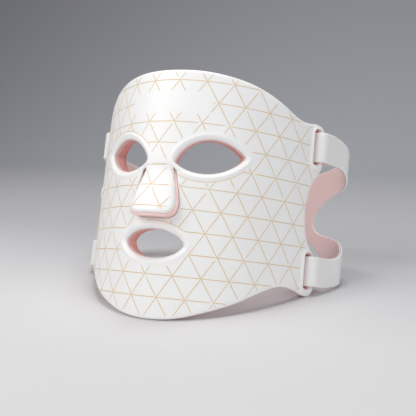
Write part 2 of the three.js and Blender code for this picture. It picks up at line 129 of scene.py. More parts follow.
LATTICE_SIDE = 21.5                 # the gold triangles' side and height
LATTICE_HEIGHT = 16.58
LATTICE_SHIFT = 2.38
LINE_WIDTH = 0.55
LINE_PROUD = 0.08
ARC_WIDTH = 0.44                    # the fine arcs beside the eyes and mouth
ARC_OFFSET = 6.3
BREAK_SHARE = 0.22                  # of the lattice's lines stop short of one end
LATTICE_ROWS = range(-1, 12)
LATTICE_COLUMNS = range(-16, 12)
LATTICE_SEED = 4
EDGE_MARGIN = 1.9                   # how far the lattice keeps from edges and openings
OPENING_MARGIN = 6.2
SLOT_MARGIN = 4.4
BUTTON_MARGIN = 2
NOSE_MARGIN_OUT = 0.7

# ---- Bending -----------------------------------------------------------------------------------

RIGHT_ANGLE = math.pi / 2
SECTION_STEPS = 24


def section(along):
    """The sheet's horizontal section: x, y and the angle at distances along it."""
    middle = along[..., None] * (np.arange(SECTION_STEPS) + 0.5) / SECTION_STEPS
    angle = BEND_GAIN * np.arcsinh(middle / BEND_WIDTH)
    x = np.cos(angle).sum(-1) * along / SECTION_STEPS
    y = np.sin(angle).sum(-1) * along / SECTION_STEPS
    return x, y, BEND_GAIN * np.arcsinh(along / BEND_WIDTH)


def lean(x, y, height):
    """From the upright sheet to the leaning mask on its resting edges."""
    back = y * math.cos(LEAN) + height * math.sin(LEAN) - REST_SHIFT
    up = height * math.cos(LEAN) - y * math.sin(LEAN) + REST_LIFT
    return np.column_stack([x, back, up]) * MM


def bend_sheet(flat):
    """Flat points on the sheet to their places: its section, its bow and its lean."""
    x, y, angle = section(flat[:, 0])
    bow = CROWN * (flat[:, 1] / CROWN_HEIGHT) ** 2 * (1 - (flat[:, 0] / CROWN_WIDTH) ** 2)
    depth = flat[:, 2]
    return lean(x - depth * np.sin(angle), y + depth * np.cos(angle) + bow, flat[:, 1])


def bend_pared(flat):
    """The sheet's bend, with its resting edges pared flat at the floor."""
    placed = bend_sheet(flat)
    placed[:, 2] = np.maximum(placed[:, 2], 0)
    return placed


def nose_rise(across, height):
    """How far the nose piece stands out: more towards its lower edge, less at its sides."""
    share = np.clip((NOSE_TOP - height) / (NOSE_TOP - NOSE_BOTTOM), 0, 1.1)
    return NOSE_RISE * share**1.15 * (1 - NOSE_ROUND * (across / NOSE_HALF_WIDTH) ** 2)


def bend_nose(flat):
    """The nose piece stands out of the sheet, and its skirt stretches back to it."""
    rise = nose_rise(flat[:, 0], flat[:, 1])
    depth = flat[:, 2]
    start = SKIRT_START - rise
    share = np.clip((depth - SKIRT_START) / (SKIRT_END - SKIRT_START), 0, 1)
    skirt = start + share * (np.maximum(8 - rise, 4) - start)
    placed = np.where(depth <= SKIRT_START, depth - rise, skirt)
    return bend_sheet(np.column_stack([flat[:, 0], flat[:, 1], placed]))


def ahead(start, heading, distance):
    """The point a distance ahead of a start in the strap's plan."""
    return np.array([start[0] + distance * math.cos(heading),
                     start[1] + distance * math.sin(heading)])


bar_x, bar_y, BAR_HEADING = (float(value) for value in section(np.array(float(BAR_CENTRE))))
BAR_AXIS = ahead((bar_x, bar_y), BAR_HEADING + RIGHT_ANGLE, SHEET_DEPTH / 2)
STRAP_EXIT = ahead(BAR_AXIS, BAR_HEADING - RIGHT_ANGLE, LOOP_RADIUS)
TURN_START = ahead(STRAP_EXIT, BAR_HEADING, STRAP_RUN)
TURN_CENTRE = ahead(TURN_START, BAR_HEADING + RIGHT_ANGLE, STRAP_TURN_RADIUS)
TURN_END = ahead(TURN_CENTRE, STRAP_TURN_HEADING - RIGHT_ANGLE, STRAP_TURN_RADIUS)
TURN_LENGTH = STRAP_TURN_RADIUS * (STRAP_TURN_HEADING - BAR_HEADING)
BACK_RADIUS = TURN_END[0] / math.sin(STRAP_TURN_HEADING)
BACK_CENTRE = ahead(TURN_END, STRAP_TURN_HEADING + RIGHT_ANGLE, BACK_RADIUS)
STRAP_LENGTH = STRAP_RUN + TURN_LENGTH + BACK_RADIUS * (math.pi - STRAP_TURN_HEADING)
STRAP_END = STRAP_LENGTH - TAB_LENGTH
LOOP_LENGTH = LOOP_RADIUS * LOOP_SWEEP


def bend_strap(flat):
    """The strap's course: round the bar, straight, a tight turn, and a wide arc to the back.
    Flat points are the distance along it, the height, and how far out of its middle."""
    along, height, out = flat.T
    turned = along - STRAP_RUN
    arcs = [
        (along < 0, BAR_AXIS, LOOP_RADIUS, BAR_HEADING + along / LOOP_RADIUS),
        ((turned >= 0) & (turned < TURN_LENGTH), TURN_CENTRE, STRAP_TURN_RADIUS,
         BAR_HEADING + turned / STRAP_TURN_RADIUS),
        (turned >= TURN_LENGTH, BACK_CENTRE, BACK_RADIUS,
         STRAP_TURN_HEADING + (turned - TURN_LENGTH) / BACK_RADIUS),
    ]
    x = STRAP_EXIT[0] + along * math.cos(BAR_HEADING) + out * math.sin(BAR_HEADING)
    y = STRAP_EXIT[1] + along * math.sin(BAR_HEADING) - out * math.cos(BAR_HEADING)
    for here, centre, radius, heading in arcs:
        x = np.where(here, centre[0] + (radius + out) * np.sin(heading), x)
        y = np.where(here, centre[1] - (radius + out) * np.cos(heading), y)
    return lean(x, y, height)


# ---- Outlines ----------------------------------------------------------------------------------


def spline(points, count):
    """A uniform Catmull-Rom curve through the points."""
    points = np.array(points, float)
    last = len(points) - 1
    place = np.linspace(0, last, count + 1)
    index = np.minimum(place.astype(int), last - 1)
    t = (place - index)[:, None]
    before, here = points[np.maximum(index - 1, 0)], points[index]
    after, beyond = points[index + 1], points[np.minimum(index + 2, last)]
    out, into = (after - before) / 2, (beyond - here) / 2
    return (
        (2 * t**3 - 3 * t**2 + 1) * here
        + (t**3 - 2 * t**2 + t) * out
        + (3 * t**2 - 2 * t**3) * after
        + (t**3 - t**2) * into
    )


def bezier(first, pull, other_pull, second, count):
    """A cubic curve between two points, drawn towards two others."""
    t = np.linspace(0, 1, count + 1)[:, None]
    a, b, c, d = (np.array(p, float) for p in (first, pull, other_pull, second))
    return (1 - t) ** 3 * a + 3 * t * (1 - t) ** 2 * b + 3 * t**2 * (1 - t) * c + t**3 * d


def even(loop, spacing):
    """The closed loop with its points evenly spaced."""
    closed = np.vstack([loop, loop[:1]])
    run = np.concatenate([[0], np.cumsum(np.linalg.norm(np.diff(closed, axis=0), axis=1))])
    count = max(int(round(run[-1] / spacing)), 8)
    at = np.arange(count) * run[-1] / count
    return np.column_stack([np.interp(at, run, closed[:, i]) for i in (0, 1)])


def eased(loop, passes):
    """The closed loop with its corners rounded."""
    for _ in range(passes):
        loop = (np.roll(loop, 1, 0) + 2 * loop + np.roll(loop, -1, 0)) / 4
    return loop


def flipped(loop):
    """The loop's mirror image, still anticlockwise."""
    return (loop * [-1, 1])[::-1]


def both_halves(half):
    """A whole outline from its half on the wearer's left."""
    return np.vstack([half, (half[1:-1] * [-1, 1])[::-1]])


def offset(loop, distance):
    """The anticlockwise loop moved outwards by one distance, or by one for each point."""
    before = loop - np.roll(loop, 1, 0)
    after = np.roll(loop, -1, 0) - loop
    before /= np.linalg.norm(before, axis=1)[:, None]
    after /= np.linalg.norm(after, axis=1)[:, None]
    along = before + after
    along /= np.linalg.norm(along, axis=1)[:, None]
    widen = 1 / np.maximum(np.abs((along * after).sum(1)), 0.6)
    outward = np.column_stack([along[:, 1], -along[:, 0]])
    return loop + outward * (distance * widen)[:, None]


def rounded_box(left, right, low, high, radius):
    """A box with quarter-round corners, anticlockwise."""
    turn = np.linspace(0, RIGHT_ANGLE, 7)
    corners = [(right, high, -1, -1), (left, high, 1, -1), (left, low, 1, 1), (right, low, -1, 1)]
    loop = []
    for quarter, (x, y, inward_x, inward_y) in enumerate(corners):
        angle = turn + quarter * RIGHT_ANGLE
        loop.append(np.column_stack([
            x + inward_x * radius + radius * np.cos(angle),
            y + inward_y * radius + radius * np.sin(angle),
        ]))
    return np.vstack(loop)


def circle(centre, radius, count=28):
    turn = np.arange(count) * 2 * math.pi / count
    return np.column_stack([centre[0] + radius * np.cos(turn), centre[1] + radius * np.sin(turn)])


EDGE = [
    (0, -99.5), (14, -98.6), (27, -96.3), (41, -92), (56, -87), (72, -80.6), (88, -72.8),
    (102, -67.4), (112, -66.2), (122, -67.8), (133, -71.2), (141, -71.2), (146, -64.5),
    (146.8, -52), (144.5, -41), (137, -32.5), (131.5, -22), (129, -7), (130.5, 7), (134.5, 19),
    (142, 29), (147, 40), (147.2, 55), (144, 65.5), (136, 68.8), (125, 67.6), (113, 69),
    (92, 78.4), (72, 85.2), (52, 89), (28, 91.2), (0, 91.5),
]
SHEET_LOOP = even(both_halves(spline(EDGE, 400)), 1.3)


def lens(first, second, low_pulls, high_pulls):
    """Two curved lids between two corners, anticlockwise, the corners eased."""
    under = bezier(first, *low_pulls, second, 60)
    over = bezier(second, *high_pulls, first, 60)
    return eased(even(np.vstack([under[:-1], over[:-1]]), 0.8), 7)


EYE_LEFT = lens((11.8, 18.7), (68, 28), [(27, 6), (53.5, 10)], [(45, 47), (17, 37)])
EYE_RIGHT = flipped(EYE_LEFT)
MOUTH = lens((-26, -42.8), (26, -42.8), [(-18.5, -58.2), (18.5, -58.2)],
             [(18.5, -29.2), (-18.5, -29.2)])

NOSE_SIDE = [
    (0, NOSE_BOTTOM), (6, NOSE_BOTTOM), (11.5, NOSE_BOTTOM + 0.2), (15.6, NOSE_BOTTOM + 2.6),
    (NOSE_HALF_WIDTH, NOSE_BOTTOM + 8), (16.2, -7), (14.8, 0), (13.2, 6.5), (12.2, NOSE_TOP),
]


def nose_loop(top, top_half_width):
    """The nose piece's outline, its sides run up to a straight top edge."""
    side = np.vstack([spline(NOSE_SIDE, 120), [(top_half_width, top), (0, top)]])
    return eased(even(both_halves(side), 0.7), 2)


NOSE = nose_loop(NOSE_TOP, 12.2)
NOSE_SKIN = nose_loop(NOSE_SEAM, 11.6)
NOSE_CUP = eased(NOSE, 24)


def cup_margin(height):
    """How far the pink cup stands out past the nose piece's skin: nothing at the bridge."""
    share = np.clip((NOSE_SEAM - 0.6 - height) / 4, 0, 1)
    return NOSE_CUP_MARGIN * share * share * (3 - 2 * share)


NOSE_MARGIN = cup_margin(NOSE_SKIN[:, 1])
NOSE_GAP = BRIDGE_CLEARANCE + (NOSE_CLEARANCE - BRIDGE_CLEARANCE) * NOSE_MARGIN / NOSE_CUP_MARGIN
NOSE_OPENING = offset(NOSE_SKIN, NOSE_MARGIN + NOSE_GAP)


def slot_loops(margin):
    """The four strap slots with a margin round them: upper pair first, left before right."""
    loops = []
    for low, high in (UPPER_ARM, LOWER_ARM):
        loop = even(rounded_box(
            SLOT_INNER - margin, SLOT_OUTER + margin,
            low - ARM_CLEARANCE - margin, high + ARM_CLEARANCE + margin, 2 + margin,
        ), 0.8)
        loops += [loop, flipped(loop)]
    return loops


SLOT_HOLES = slot_loops(GROMMET_WALL + 0.1)
SLOT_NAMES = ["upper_left", "upper_right", "lower_left", "lower_right"]

BAND = (-28, 26)
STRAP_UNDER = [
    (8, LOWER_ARM[0]), (20, -62), (32, -58.5), (44, -52), (54, -44), (64, -35), (74, -25),
    (86, -20), (104, -19), (122, -21), (140, -25.5), (STRAP_END, BAND[0]),
]
STRAP_OVER = [
    (STRAP_END, BAND[1]), (138, 28), (118, 30), (100, 33), (86, 36), (72, 38.5), (60, 41),
    (50, 44.5), (40, 49), (30, 55), (20, 60), (8, UPPER_ARM[1]),
]
STRAP_CROTCH = [
    (4, UPPER_ARM[0]), (16, 37), (24, 35), (31, 29.5), (38, 24.5), (48, 20), (60, 13.5), (70, 4),
    (74, -6), (70, -14), (61, -17.5), (50, -20), (40, -25), (33, -31.5), (26, -36.5),
    (16, -39.2), (6, LOWER_ARM[1]),
]


def strap_loop():
    """The strap drawn flat: two arms that join behind the ear round a curved crotch."""
    return eased(even(np.vstack([
        [(-LOOP_LENGTH, LOWER_ARM[0])],
        spline(STRAP_UNDER, 80),
        spline(STRAP_OVER, 80),
        [(-LOOP_LENGTH, UPPER_ARM[1]), (-LOOP_LENGTH, UPPER_ARM[0])],
        spline(STRAP_CROTCH, 140),
        [(-LOOP_LENGTH, LOWER_ARM[1])],
    ]), 1.1), 8)


# ---- Meshes ------------------------------------------------------------------------------------

SHARP_ANGLE = math.radians(50)
MERGE_DISTANCE = 1e-7               # metres


def inside(points, loop):
    """Whether each point is inside the loop, by counting crossings to its right."""
    ax, ay = loop.T
    bx, by = np.roll(loop, -1, 0).T
    px, py = points[:, :1], points[:, 1:2]
    straddles = (ay > py) != (by > py)
    rise = np.where(by == ay, 1, by - ay)
    return (straddles & (px < ax + (py - ay) * (bx - ax) / rise)).sum(1) % 2 == 1


def distance_to(points, loop):
    """Each point's distance to the loop's nearest point."""
    gap = points[:, None, :] - loop[None, :, :]
    return np.sqrt((gap**2).sum(-1).min(1))


def fill_points(loops, spacing, columns):
    """A staggered grid inside the first loop and outside the others."""
    low, high = loops[0].min(0), loops[0].max(0)
    rows = np.arange(low[1] + spacing / 2, high[1], spacing * 0.87)
    xs = np.arange(low[0], high[0], spacing) if columns is None else columns
    grid = []
    for number, y in enumerate(rows):
        shift = spacing / 2 if number % 2 and columns is None else 0
        grid.append(np.column_stack([xs + shift, np.full(len(xs), y)]))
    grid = np.vstack(grid)
    keep = inside(grid, loops[0])
    for loop in loops[1:]:
        keep &= ~inside(grid, loop)
    grid = grid[keep]
    for loop in loops:
        grid = grid[distance_to(grid, loop) > 0.6 * spacing]
    return grid


def fill(loops, spacing, columns=None):
    """Triangles inside the first loop less the others: the added points and index triples."""
    corners = np.vstack(loops)
    points = np.vstack([corners, fill_points(loops, spacing, columns)])
    edges, start = [], 0
    for loop in loops:
        count = len(loop)
        edges += [(start + i, start + (i + 1) % count) for i in range(count)]
        start += count
    vectors = [Vector(p) for p in points]
    _, _, faces, origin, _, _ = delaunay_2d_cdt(vectors, edges, [], 1, 1e-5)
    if not all(origin):
        raise ValueError("two outlines cross")
    triangles = np.array([[origin[i][0] for i in face] for face in faces])
    middles = points[triangles].mean(1)
    keep = inside(middles, loops[0])
    for loop in loops[1:]:
        keep &= ~inside(middles, loop)
    return points[len(corners):], triangles[keep]


def ring(loop, out, depth):
    """A loop of flat points offset from an outline, at a depth."""
    return np.column_stack([offset(loop, out), np.full(len(loop), float(depth))])


def rings(loop, profile, side=1, squeeze=1):
    """One ring for each (offset, depth) pair of a profile, its offsets squeezed point by point."""
    return [ring(loop, side * out * squeeze, depth) for out, depth in profile]


def wall_faces(start, count, layers, closed=False):
    """Quads between successive rings of count points."""
    faces = []
    for layer in range(layers if closed else layers - 1):
        a = start + layer * count
        b = start + (layer + 1) % layers * count
        faces += [(a + i, a + (i + 1) % count, b + (i + 1) % count, b + i)
                  for i in range(count)]
    return faces


def plate(rims, spacing, columns=None):
    """A closed plate. Each rim is a list of rings from its front to its back; the first rim
    is the outer edge and the others are openings. Flat points and faces."""
    points, faces, fronts, backs, total = [], [], [], [], 0
    for rim in rims:
        count = len(rim[0])
        faces += wall_faces(total, count, len(rim))
        fronts.append(total + np.arange(count))
        backs.append(total + (len(rim) - 1) * count + np.arange(count))
        points += rim
        total += count * len(rim)
    for end, indices in ((0, fronts), (-1, backs)):
        added, triangles = fill([rim[end][:, :2] for rim in rims], spacing, columns)
        depth = rims[0][end][0, 2]
        lookup = np.concatenate([*indices, total + np.arange(len(added))])
        faces += [tuple(face) for face in lookup[triangles]]
        points.append(np.column_stack([added, np.full(len(added), depth)]))
        total += len(added)
    return np.vstack(points), faces


def hoop(loop, profile, narrowed=1):
    """A closed ring round an outline, its cross-section a closed profile."""
    layers = rings(loop, profile, 1, narrowed)
    return np.vstack(layers), wall_faces(0, len(loop), len(profile), closed=True)


def dome(centre, profile, count=20):
    """A turned solid from (radius, depth) pairs, closed at both ends."""
    layers = [np.column_stack([circle(centre, radius, count), np.full(count, float(depth))])
              for radius, depth in profile]
    points = np.vstack([*layers, [(*centre, profile[0][1]), (*centre, profile[-1][1])]])
    faces = wall_faces(0, count, len(profile))
    first, last = count * len(profile), count * len(profile) + 1
    end = count * (len(profile) - 1)
    faces += [(first, (i + 1) % count, i) for i in range(count)]
    faces += [(last, end + i, end + (i + 1) % count) for i in range(count)]
    return points, faces


def joined(shapes):
    """Several shapes as one list of points and one of faces."""
    points, faces, total = [], [], 0
    for shape_points, shape_faces in shapes:
        points.append(shape_points)
        faces += [tuple(int(i) + total for i in face) for face in shape_faces]
        total += len(shape_points)
    return np.vstack(points), faces


def make(name, placed, faces, finish):
    """A mesh object from placed points in metres."""
    mesh = bpy.data.meshes.new(name)
    mesh.from_pydata([tuple(p) for p in placed], [], [tuple(int(i) for i in f) for f in faces])
    shape = bmesh.new()
    shape.from_mesh(mesh)
    bmesh.ops.remove_doubles(shape, verts=shape.verts, dist=MERGE_DISTANCE)
    bmesh.ops.recalc_face_normals(shape, faces=shape.faces)
    shape.to_mesh(mesh)
    shape.free()
    mesh.shade_smooth()
    mesh.set_sharp_from_angle(angle=SHARP_ANGLE)
    mesh.materials.append(finish)
    piece = bpy.data.objects.new(name, mesh)
    bpy.context.scene.collection.objects.link(piece)
    return piece


def build(name, shape, bend, body, finish, replaces=()):
    """A piece that rides one body and stands in for the CAD nodes that it replaces."""
    flat, faces = shape
    piece = make(name, bend(flat), faces, finish)
    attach(piece, body)
    if replaces:
        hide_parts(*replaces)


def build_pair(name, shape, bend, finish, node):
    """The same piece on each half of the strap."""
    flat, faces = shape
    for side, sign in (("left", 1), ("right", -1)):
        placed = bend(flat) * [sign, 1, 1]
        piece = make(f"{name}_{side}", placed, faces, finish)
        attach(piece, f"strap_{side}")
        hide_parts(f"{node}_{side}")


# ---- Materials ---------------------------------------------------------------------------------


def linear(text):
    """A screen colour such as f4f2f1 as linear RGBA."""
    values = [int(text[i:i + 2], 16) / 255 for i in (0, 2, 4)]
    return [v / 12.92 if v <= 0.04045 else ((v + 0.055) / 1.055) ** 2.4 for v in values] + [1]


class Finish:
    """A node material under construction, on object coordinates in metres."""

    def __init__(self, name):
        self.material = bpy.data.materials.new(name)
        self.material.use_nodes = True
        self.nodes = self.material.node_tree.nodes
        self.links = self.material.node_tree.links
        self.shader = self.nodes["Principled BSDF"]
        self.place = self.nodes.new("ShaderNodeTexCoord").outputs["Object"]

    def set(self, **values):
        for key, value in values.items():
            self.shader.inputs[key.replace("_", " ").title().replace("Ior", "IOR")
                               ].default_value = value

    def noise(self, scale, detail=3, roughness=0.5, stretch=None):
        node = self.nodes.new("ShaderNodeTexNoise")
        node.inputs["Scale"].default_value = scale
        node.inputs["Detail"].default_value = detail
        node.inputs["Roughness"].default_value = roughness
        source = self.place
        if stretch:
            mapping = self.nodes.new("ShaderNodeMapping")
            mapping.inputs["Scale"].default_value = stretch
            self.links.new(source, mapping.inputs["Vector"])
            source = mapping.outputs["Vector"]
        self.links.new(source, node.inputs["Vector"])
        return node.outputs["Fac"]

    def ramp(self, source, stops):
        node = self.nodes.new("ShaderNodeValToRGB")
        ramp = node.color_ramp
        while len(ramp.elements) < len(stops):
            ramp.elements.new(0.5)
        for element, (position, colour) in zip(ramp.elements, stops):
            element.position = position
            element.color = colour
        self.links.new(source, node.inputs["Fac"])
        return node.outputs["Color"]

    def between(self, source, low, high):
        node = self.nodes.new("ShaderNodeMapRange")
        node.inputs["To Min"].default_value = low
        node.inputs["To Max"].default_value = high
        self.links.new(source, node.inputs["Value"])
        return node.outputs["Result"]

    def bump(self, source, distance, strength, after=None):
        node = self.nodes.new("ShaderNodeBump")
        node.inputs["Strength"].default_value = strength
        node.inputs["Distance"].default_value = distance
        self.links.new(source, node.inputs["Height"])
        if after is not None:
            self.links.new(after, node.inputs["Normal"])
        return node.outputs["Normal"]

    def link(self, source, name):
        self.links.new(source, self.shader.inputs[name])


def silicone(name, pale, deep, soft=0.2, rough=(0.42, 0.56)):
    """Moulded silicone: a faint cloudiness, a fine satin grain and a little light under it."""
    finish = Finish(name)
    cloud = finish.noise(28, detail=4)
    finish.link(finish.ramp(cloud, [(0.3, linear(deep)), (0.7, linear(pale))]), "Base Color")
    finish.link(finish.between(finish.noise(160, detail=2), *rough), "Roughness")
    ripple = finish.bump(finish.noise(75, detail=2), 0.00012, 0.5)
    finish.link(finish.bump(finish.noise(2600, detail=2), 0.00002, 0.5, ripple), "Normal")
    finish.set(subsurface_weight=soft, subsurface_scale=0.004, coat_weight=0.08,
               coat_roughness=0.35, sheen_weight=0.12, sheen_roughness=0.4)
    finish.shader.inputs["Subsurface Radius"].default_value = (1.0, 0.55, 0.45)
    return finish.material


WHITE = silicone("white_silicone", "faf9f8", "f7f5f3", soft=0.15)
STRAP_WHITE = silicone("strap_white_silicone", "f6f4f2", "efecea", soft=0.18, rough=(0.45, 0.6))
PINK = silicone("pink_silicone", "fbd9d5", "f8d0cb", soft=0.25)
# A lighter copy of the liner's pink for the strap's lining and closure pad: painted light where
# the mask shades them.
LIT_STRAP_PINK = silicone("lit_strap_pink_silicone", "ffe4e1", "ffdcd8", soft=0.25)
# A darker pink for the gasket collars and slot grommets down in the openings: painted shade of
# those recesses.
SHADE_PINK = silicone("rose_silicone", "edb2aa", "e6a59c", soft=0.25, rough=(0.48, 0.62))
# A paler pink for the gaskets' fine bead: a painted highlight along its edge.
HIGHLIGHT_PINK = silicone("highlight_pink_silicone", "fbe4e1", "f8dbd8", soft=0.3)


def gold_ink():
    """Screen-printed gold: fine flakes in a satin binder."""
    finish = Finish("gold_ink")
    flakes = finish.noise(1800, detail=3, roughness=0.7)
    stops = [(0.3, linear("d0a95c")), (0.55, linear("e0bf79")), (0.8, linear("edd59a"))]
    finish.link(finish.ramp(flakes, stops), "Base Color")
    finish.link(finish.between(finish.noise(900, detail=2), 0.32, 0.55), "Roughness")
    finish.link(finish.bump(flakes, 0.00003, 0.6), "Normal")
    finish.set(metallic=0.15, specular_ior_level=0.55)
    return finish.material


def lens_finish():
    """The clear domes over the lights: milky, glossy, with a warm heart."""
    finish = Finish("light_lens")
    haze = finish.noise(420, detail=3)
    finish.link(finish.ramp(haze, [(0.3, linear("f6dcc8")), (0.7, linear("fbeee4"))]),
                "Base Color")
    finish.link(finish.between(haze, 0.12, 0.24), "Roughness")
    finish.set(subsurface_weight=0.5, subsurface_scale=0.003, coat_weight=0.5,
               coat_roughness=0.08)
    return finish.material


def film(name, pale, deep, scale, metal=0.0, rough=(0.3, 0.5), stretch=None):
    """Thin technical sheet such as a circuit film, foil or plated steel."""
    finish = Finish(name)
    grain = finish.noise(scale, detail=4, roughness=0.6, stretch=stretch)
    finish.link(finish.ramp(grain, [(0.35, linear(deep)), (0.65, linear(pale))]), "Base Color")
    finish.link(finish.between(grain, *rough), "Roughness")
    finish.link(finish.bump(grain, 0.00004, 0.5), "Normal")
    finish.set(metallic=metal)
    return finish.material


GOLD = gold_ink()
LENS = lens_finish()
BOARD_FILM = film("board_film", "f4ead0", "e6d6ac", 300)
RIBBON_FILM = film("ribbon_film", "d09a4e", "b9822f", 500, stretch=(1, 1, 12))
POUCH_FOIL = film("pouch_foil", "d3d6da", "a9adb2", 120, metal=0.9, rough=(0.25, 0.45))
RIGID_BOARD = film("rigid_board", "347a59", "23583f", 700)
STEEL = film("steel", "ced0d3", "a9acb0", 900, metal=1.0, rough=(0.22, 0.36), stretch=(1, 1, 0.05))

# ---- The mask's sheet --------------------------------------------------------------------------

SHELL_EDGE = [(2.6, 0), (1.9, 0.04), (1.2, 0.2), (0.6, 0.5), (0.2, 0.95), (0, 1.5), (0.08, 1.95),
              (0.4, 2.2), (2, 2.2)]
LID_PROFILE = [(5.4, 0), (4.8, -0.1), (4.2, -0.27), (3.7, -0.34), (3.1, -0.27), (2.5, -0.05),
               (1.9, 0.3), (1.2, 0.85), (0.6, 1.4), (0.2, 1.9), (0.05, 2.2), (2, 2.2)]
SLOT_PROFILE = [(4, 0), (3.4, -0.12), (2.8, -0.5), (2.1, -0.85), (1.4, -0.95), (0.7, -0.75),
                (0.2, -0.25), (0, 0.4), (0, 2.2), (1.2, 2.2)]
NOSE_OPENING_PROFILE = [(0.5, 0), (0.15, 0.08), (0, 0.35), (0, 1.9), (0.15, 2.15), (0.5, 2.2)]
BUTTON_HOLE_PROFILE = [(1.4, 0), (0.7, 0.08), (0.2, 0.4), (0, 0.9), (0, 2.1), (0.5, 2.2)]

BUTTON_HOLE = circle(BUTTON_AT, BUTTON_RADIUS + 0.3, 40)

LEAST_ROOM = 0.4                    # left between neighbouring profiles
LEAST_SHARE = 0.15


def squeeze(loop, neighbours, reach):
    """Narrows a profile where its outline nears others, which share the reach between them."""
    room = distance_to(loop, np.vstack(neighbours)) - LEAST_ROOM
    return np.clip(room / reach, LEAST_SHARE, 1)


def shell_shape():
    """The outer sheet, with raised lips round its openings and slots."""
    edge_reach, lid_reach, slot_reach = (
        profile[0][0] for profile in (SHELL_EDGE, LID_PROFILE, SLOT_PROFILE))
    shared = edge_reach + slot_reach
    rims = [rings(SHEET_LOOP, SHELL_EDGE, -1, squeeze(SHEET_LOOP, SLOT_HOLES, shared))]
    for loop in (EYE_LEFT, EYE_RIGHT, MOUTH):
        narrowed = squeeze(loop, [NOSE_OPENING], lid_reach + 0.8)
        rims.append(rings(loop, LID_PROFILE, 1, narrowed))
    rims.append(rings(NOSE_OPENING, NOSE_OPENING_PROFILE))
    rims.append(rings(BUTTON_HOLE, BUTTON_HOLE_PROFILE))
    for loop in SLOT_HOLES:
        rims.append(rings(loop, SLOT_PROFILE, 1, squeeze(loop, [SHEET_LOOP], shared)))
    return plate(rims, 2.6)


LINER_EDGE = [(RIM_WIDTH, LINER_FLOOR), (RIM_WIDTH, 2.6), (RIM_WIDTH - 0.3, LINER_TOP),
              (0.5, LINER_TOP), (0.12, 2.5), (0, 2.9), (0, 5.4), (0.25, 6.2), (0.8, 6.75),
              (1.6, SHEET_DEPTH), (2.4, SHEET_DEPTH)]
FLOOR_PROFILE = [(0.4, LINER_FLOOR), (0, LINER_FLOOR + 0.3), (0, 6.5), (0.2, 6.85),
                 (0.6, SHEET_DEPTH)]


NOSE_CLEAR = offset(NOSE_CUP, NOSE_CUP_MARGIN + NOSE_CLEARANCE)


def gasket_squeeze(loop):
    """A gasket narrows beside the nose opening."""
    return squeeze(loop, [NOSE_CLEAR], GASKET_WIDTH + 1.4)


def liner_shape():
    """The tray behind the shell: a floor, and a rim that meets the shell."""
    narrowed = squeeze(SHEET_LOOP, SLOT_HOLES, RIM_WIDTH + 1)
    rims = [rings(SHEET_LOOP, LINER_EDGE, -1, narrowed)]
    holes = [offset(loop, (GASKET_WIDTH + 0.3) * gasket_squeeze(loop))
             for loop in (EYE_LEFT, EYE_RIGHT, MOUTH)]
    rims += [rings(loop, FLOOR_PROFILE) for loop in [*holes, NOSE_CLEAR, *SLOT_HOLES]]
    return plate(rims, 2.8)


build("shell_skin", shell_shape(), bend_pared, "mask", WHITE, ["outer_shell"])
build("liner_tray", liner_shape(), bend_pared, "mask", PINK, ["inner_liner"])

# ---- Gaskets, grommets, lenses and button ------------------------------------------------------


def gasket_profiles(depth):
    """The gasket's parts: a pale lip, a fine bead painted paler as a highlight, and the collar
    that stands inwards, painted darker as shade.
    """
    lip = [(0.45, 2.3), (0.2, 2.5), (0.12, 3.1), (0.12, 4.3), (0.4, 4.55), (4, 4.55), (4, 2.3)]
    bead = [(0.15 + 0.4 * math.cos(a), 4.9 + 0.4 * math.sin(a))
            for a in np.linspace(0, 2 * math.pi, 8, endpoint=False)]
    collar = [(0.4, 5), (0.1, 5.3), (0, depth - 1.3), (0.1, depth - 0.5), (0.6, depth - 0.05),
              (1.4, depth), (2.6, depth - 0.1), (3.5, depth - 0.6), (4, depth - 1.5), (4, 5)]
    # The bead's paler pink is a painted highlight.
    return (("lip", lip, PINK), ("bead", bead, HIGHLIGHT_PINK), ("collar", collar, SHADE_PINK))


def add_gasket(name, loop, depth):
    for part, profile, finish in gasket_profiles(depth):
        shape = hoop(loop, profile, gasket_squeeze(loop))
        build(f"{name}_{part}", shape, bend_sheet, "mask", finish,
              [name] if part == "collar" else ())


add_gasket("eye_gasket_left", EYE_LEFT, EYE_GASKET_DEPTH)
add_gasket("eye_gasket_right", EYE_RIGHT, EYE_GASKET_DEPTH)
add_gasket("mouth_gasket", MOUTH, MOUTH_GASKET_DEPTH)

GROMMET_PROFILE = [(0, 1.2), (0.3, 0.7), (0.7, 0.6), (1, 0.9), (1, 6), (0.7, 6.4), (0.3, 6.4),
                   (0, 6)]
# The grommets take the darker pink: painted shade down in the slots.
for slot_name, slot_loop in zip(SLOT_NAMES, slot_loops(0)):
    build(f"grommet_{slot_name}", hoop(slot_loop, GROMMET_PROFILE), bend_sheet, "mask", SHADE_PINK,
          [f"slot_grommet_{slot_name}"])


def light_grid(left, right, columns, low, high, rows):
    return [(x, y) for x in np.linspace(left, right, columns)
            for y in np.linspace(low, high, rows)]


CHEEK_LIGHTS = light_grid(48, 84, 3, -56, -6, 4)
SHEET_LIGHTS = [
    *light_grid(-72, 72, 7, 54, 68, 2), *light_grid(-27, 27, 4, -82, -70, 2),
    *CHEEK_LIGHTS, *[(-x, y) for x, y in CHEEK_LIGHTS],
]
LENS_PROFILE = [(3.1, 6.9), (3.1, 7.05), (2.9, 7.3), (2.4, 7.6), (1.6, 7.85), (0.8, 7.97)]
build("light_lenses", joined([dome(spot, LENS_PROFILE) for spot in SHEET_LIGHTS]), bend_sheet,
      "mask", LENS)

BUTTON_PROFILE = [(0.8, -0.62), (1.6, -0.62), (1.9, -0.68), (2.2, -0.86), (2.8, -0.9),
                  (4.4, -0.86), (5.1, -0.66), (5.5, -0.2), (5.6, 0.3), (5.6, 2.1)]
build("power_cap", dome(BUTTON_AT, BUTTON_PROFILE, 40), bend_sheet, "button", WHITE,
      ["power_button"])

# ---- The nose piece ----------------------------------------------------------------------------

FLAP_EDGE = [(3.4, 0), (2.7, 0.05), (2, 0.22), (1.3, 0.55), (0.7, 1), (0.25, 1.5), (0, 2),
             (0.2, 2.3), (1.5, 2.3)]


